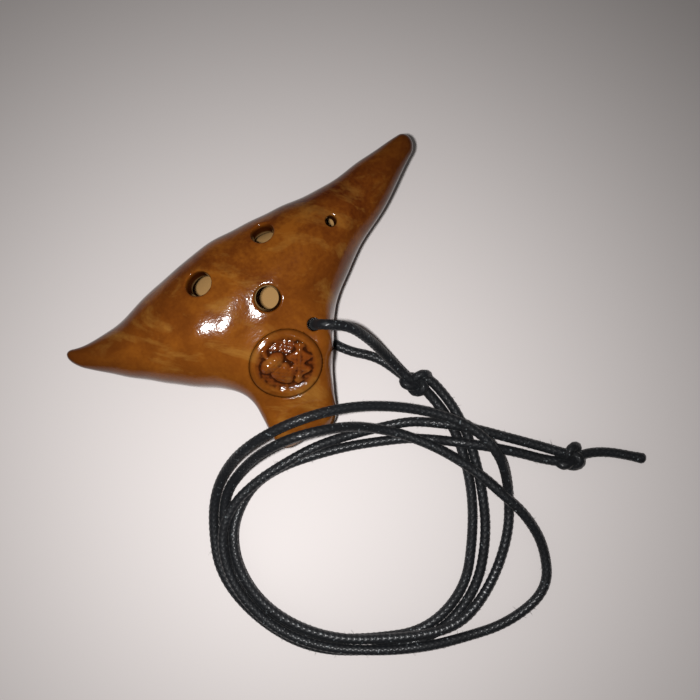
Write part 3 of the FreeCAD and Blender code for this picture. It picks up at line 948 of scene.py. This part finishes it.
    def build_medallion(self, material: bpy.types.Material) -> None:
        """Press the stamped disc on to the neck.

        Args:
            material: the glaze.
        """
        around, rings, gap = 176, 72, 0.04
        radius = (self.medal_radius - gap) * np.linspace(0, 1, rings + 1)[1:]
        angle = np.linspace(0, 2 * math.pi, around, endpoint=False)
        r, t = np.meshgrid(radius, angle, indexing="ij")
        u, v = np.append(0.0, (r * np.cos(t)).ravel()), np.append(0.0, (r * np.sin(t)).ravel())
        away = np.hypot(u, v)
        edge = 0.32 * smooth_step(self.medal_radius - 0.7, self.medal_radius, away) ** 2
        figure = self.relief(u, v)
        top = self.skin_level(u, v) + figure - edge
        rim = slice(len(u) - around, len(u))
        side = [np.full(around, level) for level in (-1.6, -self.medal_depth)]
        points = [np.stack(self.medal.world(u, v, top), 1)]
        points += [np.stack(self.medal.world(u[rim], v[rim], level), 1) for level in side]
        points.append(np.array([self.medal.world(0.0, 0.0, -self.medal_depth)]))
        vertices = np.concatenate(points)
        faces = [[0, 1 + i, 1 + (i + 1) % around] for i in range(around)]
        for ring in range(rings + 1):
            base = 1 + ring * around
            for i in range(around):
                j = (i + 1) % around
                faces.append([base + i, base + around + i, base + around + j, base + j])
        last = len(vertices) - 1
        faces += [[last, last - around + (i + 1) % around, last - around + i] for i in range(around)]
        disc = make_mesh("medallion_relief", vertices, faces)
        # Painted shade in the hollows beside the raised figure, in its low ground and at the disc's sunken
        # edge; the redder wash stays in the middle.
        deep = 3.2 * np.clip(self.hollows(u, v) - 0.02, 0, 1)
        painted_shade = np.clip(0.25 * smooth_step(0.35, -0.4, figure) + deep + 1.6 * edge, 0, 0.9)
        middle = smooth_step(7.6, 5.6, away + 0.4 * np.sin(2 * np.arctan2(v, u)))
        stamp = middle * (0.75 - 0.5 * smooth_step(0.0, 1.0, figure))
        under = np.zeros(len(vertices) - len(u))
        none = 0 * painted_shade
        for name, share in (("painted_shade", painted_shade), ("stamp", stamp), ("bisque", none), ("hole_wall", none)):
            set_attribute(disc, name, np.concatenate([share, under]))
        disc.data.materials.append(material)
        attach(disc, "root")
        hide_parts("medallion")
        LOG.info("medallion_relief: %d faces", len(faces))


# ------------------------------------------------------------------ the cord
LOW, HIGH, TOP = 1.3, 4.1, 6.9  # on the table, over one strand, over two

UPPER_LEG = (
    (4.8, -4.1, 12.4), (4.8, -4.1, 16.4), (4.95, -4.2, 20.6), (7.3, -5.8, 23.0), (11.7, -9.0, 20.0),
    (14.0, -14.0, 13.2), (15.4, -19.3, 7.2), (16.5, -24.6, 4.4), (17.4, -28.2, 3.6),
)
LOWER_LEG = (
    (4.8, -4.1, 12.4), (4.8, -4.1, 7.0), (4.9, -4.35, 1.5), (5.7, -9.8, LOW), (8.7, -14.3, LOW),
    (11.8, -17.2, LOW), (14.2, -20.4, LOW), (15.8, -24.4, LOW), (17.2, -28.6, 1.8),
)
STRAND_A = (
    (18.9, -30.8, 2.2), (20.0, -36.0, 1.5), (20.5, -42.0, LOW), (19.5, -50.0, LOW), (15.7, -61.1, LOW),
    (9.3, -71.4, LOW), (0.3, -81.8, LOW), (-13.8, -85.4, LOW), (-27.0, -79.5, LOW), (-39.9, -71.2, LOW),
    (-46.1, -58.2, LOW), (-48.3, -44.6, LOW), (-43.2, -33.6, LOW), (-37.6, -27.0, 2.8),
    (-30.6, -24.3, 6.2), (-23.3, -23.1, 12.4), (-15.4, -23.7, 15.4), (-7.6, -26.2, 14.8),
    (-1.1, -29.8, 9.8), (3.6, -34.1, 5.6), (8.0, -38.5, HIGH), (14.2, -47.0, HIGH),
    (19.0, -57.0, HIGH), (21.6, -66.0, 4.5), (23.7, -73.8, 3.4), (23.5, -83.6, LOW), (18.3, -93.5, LOW),
    (5.0, -95.2, LOW), (-7.5, -91.6, 1.9), (-16.5, -87.6, HIGH), (-27.0, -82.0, HIGH),
    (-39.0, -73.3, HIGH), (-47.0, -61.2, HIGH), (-49.0, -47.1, HIGH), (-45.0, -35.8, HIGH),
    (-37.9, -30.7, HIGH), (-29.5, -29.0, HIGH), (-20.5, -29.0, HIGH), (-11.8, -29.7, 3.2),
    (-3.6, -32.0, LOW), (4.6, -34.8, LOW), (11.6, -37.4, 1.8), (16.4, -40.6, 4.3), (23.5, -46.6, 4.3),
    (29.8, -53.6, 3.2), (36.0, -60.4, 2.6), (40.2, -65.2, 3.2),
)
STRAND_B = (
    (21.5, -30.0, 2.2), (22.7, -35.0, 1.5), (23.2, -41.5, LOW), (22.2, -50.0, LOW), (18.4, -61.5, LOW),
    (12.5, -73.2, LOW), (2.2, -84.0, LOW), (-13.3, -88.2, LOW), (-28.1, -82.6, LOW),
    (-41.6, -73.4, LOW), (-49.0, -59.7, LOW), (-51.1, -44.5, LOW), (-45.6, -32.5, LOW),
    (-39.8, -25.4, 3.0), (-32.6, -21.5, 7.2), (-25.1, -19.9, 13.2), (-16.0, -20.1, 17.0),
    (-6.9, -22.0, 17.0), (1.5, -25.4, 13.8), (9.4, -30.6, 9.8), (16.4, -36.7, 7.8), (22.0, -43.2, TOP),
    (25.4, -50.5, TOP), (25.9, -56.5, 6.6), (25.0, -62.0, 3.4), (22.6, -68.0, LOW), (18.0, -75.0, LOW),
    (10.6, -81.6, LOW), (2.6, -85.8, 2.5), (-5.0, -87.4, 4.0), (-12.6, -86.0, HIGH),
    (-22.4, -81.2, HIGH), (-33.7, -74.3, HIGH), (-41.4, -65.2, HIGH), (-45.5, -55.0, HIGH),
    (-45.4, -44.6, HIGH), (-41.9, -36.4, 3.0), (-36.0, -31.6, LOW), (-29.5, -29.2, LOW),
    (-21.5, -29.6, LOW), (-13.0, -31.8, LOW), (-5.0, -34.4, LOW), (2.6, -37.8, LOW), (9.4, -41.2, LOW),
    (14.4, -44.8, 1.5), (17.4, -47.0, 3.6), (20.6, -49.6, 4.5), (25.4, -53.8, 4.3), (31.0, -59.4, 3.0),
    (35.8, -64.8, 2.6), (39.8, -68.0, 2.8),
)
TAIL = (
    (43.0, -68.2, 2.6), (46.6, -69.4, 1.8), (50.4, -71.8, LOW), (54.0, -75.0, LOW), (57.6, -78.6, LOW),
)


def smooth_line(points: tuple[tuple[float, ...], ...], closed: bool = False) -> Array:
    """Follow control points with a smooth curve.

    Args:
        points: control points in millimetres.
        closed: whether the curve ends where it starts.

    Returns:
        Points along the curve, in millimetres.
    """
    curve = bpy.data.curves.new("route", "CURVE")
    curve.dimensions = "3D"
    curve.resolution_u = 16
    spline = curve.splines.new("NURBS")
    spline.points.add(len(points) - 1)
    for point, place in zip(spline.points, points):
        point.co = (*(c * MM for c in place), 1.0)
    spline.order_u = 3
    spline.use_endpoint_u = not closed
    spline.use_cyclic_u = closed
    holder = bpy.data.objects.new("route", curve)
    bpy.context.scene.collection.objects.link(holder)
    bpy.context.view_layer.update()
    mesh = bpy.data.meshes.new_from_object(holder)
    line = vertices_of(mesh)
    bpy.data.objects.remove(holder)
    bpy.data.curves.remove(curve)
    bpy.data.meshes.remove(mesh)
    return np.vstack([line, line[:1]]) if closed else line


def even_steps(line: Array, step: float) -> Array:
    """Place points along a line at even steps.

    Args:
        line: points along the line.
        step: the wanted distance, which is rounded to fit.

    Returns:
        The evenly placed points.
    """
    along = np.append(0.0, np.cumsum(np.linalg.norm(np.diff(line, axis=0), axis=1)))
    places = np.linspace(0, along[-1], max(8, int(round(along[-1] / step)) + 1))
    return np.stack([np.interp(places, along, line[:, i]) for i in range(3)], axis=1)


@dataclass
class Braid:
    """A round braid of waxed threads that follows a line. Sizes are in millimetres."""

    diameter: float = 2.5
    carriers: int = 6        # threads that run each way round
    pick: float = 1.5        # length of one crossing along the cord
    relief: float = 0.12
    around: int = 30
    step: float = 0.17
    end_round: float = 0.9   # length over which an end is rounded off
    frayed: float = 0.10     # how much a cut end swells, as a share of the radius

    def surface(self, turn: Array, along: Array) -> Array:
        """Radius of the braid: each thread bulges, and goes over one and under one.

        Args:
            turn: the places round the cord, in radians.
            along: the places along it.

        Returns:
            The radius there.
        """
        a = self.carriers * turn / (2 * math.pi) + along / self.pick
        b = self.carriers * turn / (2 * math.pi) - along / self.pick
        first, second = np.sin(math.pi * (a % 1)), np.sin(math.pi * (b % 1))
        over = (np.floor(a) + np.floor(b)) % 2 < 0.5
        bulge = np.where(over, np.sqrt(first) * (0.5 + 0.5 * second), np.sqrt(second) * (0.5 + 0.5 * first))
        return self.diameter / 2 - self.relief + self.relief * 1.25 * bulge

    def rounded(self, rest: Array) -> Array:
        """Share of the radius that is left at a distance from an end."""
        return np.sqrt(np.clip(1 - np.clip(1 - rest / self.end_round, 0, 1) ** 2, 0.05, 1))

    @staticmethod
    def sides(centre: Array) -> tuple[Array, Array]:
        """Carry two directions across the cord along it without a twist.

        Args:
            centre: points along the centreline.

        Returns:
            The two unit directions at each point.
        """
        tangent = np.gradient(centre, axis=0)
        tangent /= np.linalg.norm(tangent, axis=1)[:, None]
        side = np.empty_like(centre)
        previous = np.cross(tangent[0], [0.31, 0.11, 0.94])  # any direction that isn't along the cord
        for i, direction in enumerate(tangent):
            previous = previous - direction * previous.dot(direction)
            previous = previous / np.linalg.norm(previous)
            side[i] = previous
        return side, np.cross(tangent, side)

    def mesh(self, name: str, line: Array, ragged: bool = False) -> bpy.types.Object:
        """Lay the braid along a line.

        Args:
            name: the piece's name.
            line: points along the centreline.
            ragged: whether the far end swells a little before it is rounded off.

        Returns:
            The closed mesh.
        """
        centre = even_steps(line, self.step)
        for _ in range(3):
            centre[1:-1] = (centre[:-2] + 2 * centre[1:-1] + centre[2:]) / 4
        side, other = self.sides(centre)
        along = np.append(0.0, np.cumsum(np.linalg.norm(np.diff(centre, axis=0), axis=1)))
        turn = np.linspace(0, 2 * math.pi, self.around, endpoint=False)
        radius = self.surface(turn[None, :], along[:, None])
        rest = along[-1] - along
        far = self.rounded(rest)
        if ragged:
            far = far * (1 + self.frayed * smooth_step(4.0, 1.0, rest))
        radius = radius * (self.rounded(along) * far)[:, None]
        rings = (centre[:, None] + radius[..., None] * (
            np.cos(turn)[None, :, None] * side[:, None] + np.sin(turn)[None, :, None] * other[:, None]))
        rings[..., 2] = np.maximum(rings[..., 2], 0.01)  # nothing sinks into the table
        count = len(centre)
        vertices = np.vstack([rings.reshape(-1, 3), centre[:1], centre[-1:]])
        i, j = np.meshgrid(np.arange(count - 1), np.arange(self.around), indexing="ij")
        k = (j + 1) % self.around
        quads = np.stack([i * self.around + j, i * self.around + k, (i + 1) * self.around + k,
                          (i + 1) * self.around + j], axis=-1).reshape(-1, 4).tolist()
        first, last = count * self.around, count * self.around + 1
        base = (count - 1) * self.around
        caps = [[first, (t + 1) % self.around, t] for t in range(self.around)]
        caps += [[last, base + t, base + (t + 1) % self.around] for t in range(self.around)]
        return make_mesh(name, vertices, quads + caps)


@dataclass
class NeckCord:
    """Both strands of the neck cord, their knots and their loose fibres."""

    braid: Braid = field(default_factory=Braid)
    finish: WaxedCotton = field(default_factory=WaxedCotton)
    # Each knot: middle, half size across, along and up, and its turn in degrees.
    loop_knot: tuple[float, ...] = (18.5, -29.9, 2.6, 1.20, 0.86, 1.25, -20.0)
    end_knot: tuple[float, ...] = (41.3, -67.5, 2.6, 1.15, 0.90, 1.25, 10.0)
    knot_steps: int = 24
    fibres: int = 520
    fibre_long: tuple[float, float] = (0.35, 1.1)
    # How thick a fibre is at its root, its middle and its tip.
    fibre_rings: tuple[tuple[float, float], ...] = ((0.0, 0.035), (0.5, 0.03), (1.0, 0.012))

    def dress(self, piece: bpy.types.Object, material: bpy.types.Material) -> bpy.types.Object:
        """Give a cord piece its finish and its body.

        Args:
            piece: the piece.
            material: the waxed cotton.

        Returns:
            The same piece.
        """
        piece.data.materials.append(material)
        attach(piece, "root")
        LOG.info("%s: %d faces", piece.name, len(piece.data.polygons))
        return piece

    def knot(self, name: str, shape: tuple[float, ...]) -> bpy.types.Object:
        """Tie an overhand knot: the cord's path crosses itself three times.

        Args:
            name: the piece's name.
            shape: middle, size across, along and up, and turn in degrees.

        Returns:
            The braided knot.
        """
        x, y, z, across, along, up, turn = shape
        cos, sin = math.cos(math.radians(turn)), math.sin(math.radians(turn))
        points = []
        for step in range(self.knot_steps):
            t = 2 * math.pi * step / self.knot_steps
            u = across * (math.sin(t) + 2 * math.sin(2 * t))
            v = along * (math.cos(t) - 2 * math.cos(2 * t))
            points.append((x + u * cos - v * sin, y + u * sin + v * cos, z - up * math.sin(3 * t)))
        line = smooth_line(tuple(points), closed=True)
        tight = Braid(diameter=2.4, step=0.15)
        return tight.mesh(name, np.vstack([line, line[1:4]]))

    def fuzz(self, lines: list[Array]) -> bpy.types.Object:
        """Stand short cotton fibres out of the cord.

        Args:
            lines: the cords' centrelines.

        Returns:
            One mesh of thin closed fibres.
        """
        rng = np.random.default_rng(7)
        vertices, faces = [], []
        for number in range(self.fibres):
            line = lines[number % len(lines)]
            spot = int(rng.integers(60, len(line) - 2))
            centre, ahead = line[spot], line[spot + 1] - line[spot]
            ahead = ahead / np.linalg.norm(ahead)
            out = np.cross(ahead, rng.normal(size=3))
            out = out / np.linalg.norm(out)
            if centre[2] < 2.0 and out[2] < 0:
                out[2] = -out[2]
            lean = out + ahead * rng.normal() * 0.9
            lean = lean / np.linalg.norm(lean)
            bend = rng.normal(size=3) * 0.35
            reach = rng.uniform(*self.fibre_long)
            root = centre + out * (self.braid.diameter / 2 - 0.15)
            across = np.cross(lean, out + 0.3)
            across = across / np.linalg.norm(across)
            third = np.cross(lean, across)
            base = len(vertices)
            for share, thick in self.fibre_rings:
                spine = root + lean * reach * share + bend * reach * share ** 2
                for angle in (0.0, 2.1, 4.2):
                    vertices.append(spine + thick * (math.cos(angle) * across + math.sin(angle) * third))
            for ring in (base, base + 3):
                for t in range(3):
                    s = (t + 1) % 3
                    faces.append([ring + t, ring + s, ring + 3 + s, ring + 3 + t])
            faces += [[base + 2, base + 1, base], [base + 6, base + 7, base + 8]]
        points = np.array(vertices)
        points[:, 2] = np.maximum(points[:, 2], 0.02)
        return make_mesh("cord_fuzz", points, faces, smooth=False)

    def build(self) -> None:
        material = self.finish.build()
        line_a = smooth_line(UPPER_LEG + STRAND_A + TAIL)
        line_b = smooth_line(LOWER_LEG + STRAND_B)
        cord_a = self.dress(self.braid.mesh("cord_first", line_a, ragged=True), material)
        cord_b = self.dress(self.braid.mesh("cord_second", line_b), material)
        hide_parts("upper_leg", "strand_a", "cord_tail")
        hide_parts("lower_leg", "strand_b")
        loop = self.dress(self.knot("loop_knot_turns", self.loop_knot), material)
        end = self.dress(self.knot("end_knot_turns", self.end_knot), material)
        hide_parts("loop_knot")
        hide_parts("end_knot")
        fuzz = self.dress(self.fuzz([even_steps(line_a, 0.5), even_steps(line_b, 0.5)]), material)


# ------------------------------------------------------------------ the studio
@dataclass
class Studio:
    """A pale table, a small soft lamp beside the camera, and the camera straight above."""

    nadir: tuple[float, float] = (8.65, -13.72)  # below the lens, in millimetres
    height: float = 205.0
    turn: float = -32.7                          # degrees from +X to the view's right
    half_width: float = 91.0                     # of the view on the table
    sensor_mm: float = 36.0
    table_size: float = 3.0                      # metres
    lamp_left: float = 15.0
    lamp_width: float = 10.0
    lamp_watts: float = 0.19
    aim: tuple[float, float] = (-3.0, -54.0)     # where the lamp points: right and up from the nadir
    spread: float = 110.0
    fill: float = 0.10
    fill_colour: str = "f2efec"
    wall_colour: str = "d8d4d1"

    def build(self) -> None:
        """Set the table, the light and the camera."""
        scene = bpy.context.scene
        scene.view_settings.view_transform = "Standard"
        bpy.ops.mesh.primitive_plane_add(size=self.table_size, location=(0, 0, 0))
        table = bpy.context.object
        table.name = "table"
        table.data.materials.append(PaleTable().build())
        place = Vector((*self.nadir, self.height)) * MM
        self.set_camera(scene, place)
        self.set_lamp(scene, place)
        self.set_room(scene)

    def set_camera(self, scene: bpy.types.Scene, place: Vector) -> None:
        """Look straight down.

        Args:
            scene: the scene.
            place: where the lens is, in metres.
        """
        data = bpy.data.cameras.new("camera")
        data.sensor_width = self.sensor_mm
        data.lens = self.sensor_mm / 2 * self.height / self.half_width
        data.clip_start = 5 * MM
        camera = bpy.data.objects.new("camera", data)
        camera.location = place
        camera.rotation_euler = (0, 0, math.radians(self.turn))
        scene.collection.objects.link(camera)
        scene.camera = camera

    def set_lamp(self, scene: bpy.types.Scene, place: Vector) -> None:
        """Put the lamp beside the lens.

        Args:
            scene: the scene.
            place: where the lens is, in metres.
        """
        data = bpy.data.lights.new("key", "AREA")
        data.shape = "DISK"
        data.size = self.lamp_width * MM
        data.energy = self.lamp_watts
        data.spread = math.radians(self.spread)
        lamp = bpy.data.objects.new("key", data)
        cos, sin = math.cos(math.radians(self.turn)), math.sin(math.radians(self.turn))
        right, up = Vector((cos, sin, 0)), Vector((-sin, cos, 0))
        lamp.location = place - right * self.lamp_left * MM
        to_target = right * self.aim[0] + up * self.aim[1] - Vector((0, 0, self.height))
        lamp.rotation_euler = to_target.to_track_quat("-Z", "Y").to_euler()
        scene.collection.objects.link(lamp)

    def set_room(self, scene: bpy.types.Scene) -> None:
        """Fill the room with an even, pale light, weaker in the glaze's reflections.

        Args:
            scene: the scene.
        """
        world = bpy.data.worlds.new("room")
        scene.world = world
        world.use_nodes = True
        tree = world.node_tree
        tree.nodes.clear()
        path = add_node(tree, "ShaderNodeLightPath")
        lit, mirrored, seen = [
            add_node(tree, "ShaderNodeBackground", {"Color": linear(colour), "Strength": strength})
            for colour, strength in ((self.fill_colour, self.fill), (self.fill_colour, self.fill / 3),
                                     (self.wall_colour, 1.0))]
        dimmed = add_node(tree, "ShaderNodeMixShader", {}, {
            0: path.outputs["Is Glossy Ray"], 1: lit.outputs[0], 2: mirrored.outputs[0]})
        mixed = add_node(tree, "ShaderNodeMixShader", {}, {
            0: path.outputs["Is Camera Ray"], 1: dimmed.outputs[0], 2: seen.outputs[0]})
        add_node(tree, "ShaderNodeOutputWorld", {}, {"Surface": mixed.outputs[0]})


def main() -> None:
    """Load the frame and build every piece."""
    logging.basicConfig(level=logging.INFO, format="%(name)s %(message)s")
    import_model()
    Studio().build()
    NeckCord().build()
    ClayFlute().build()


if __name__ == "__main__":
    main()
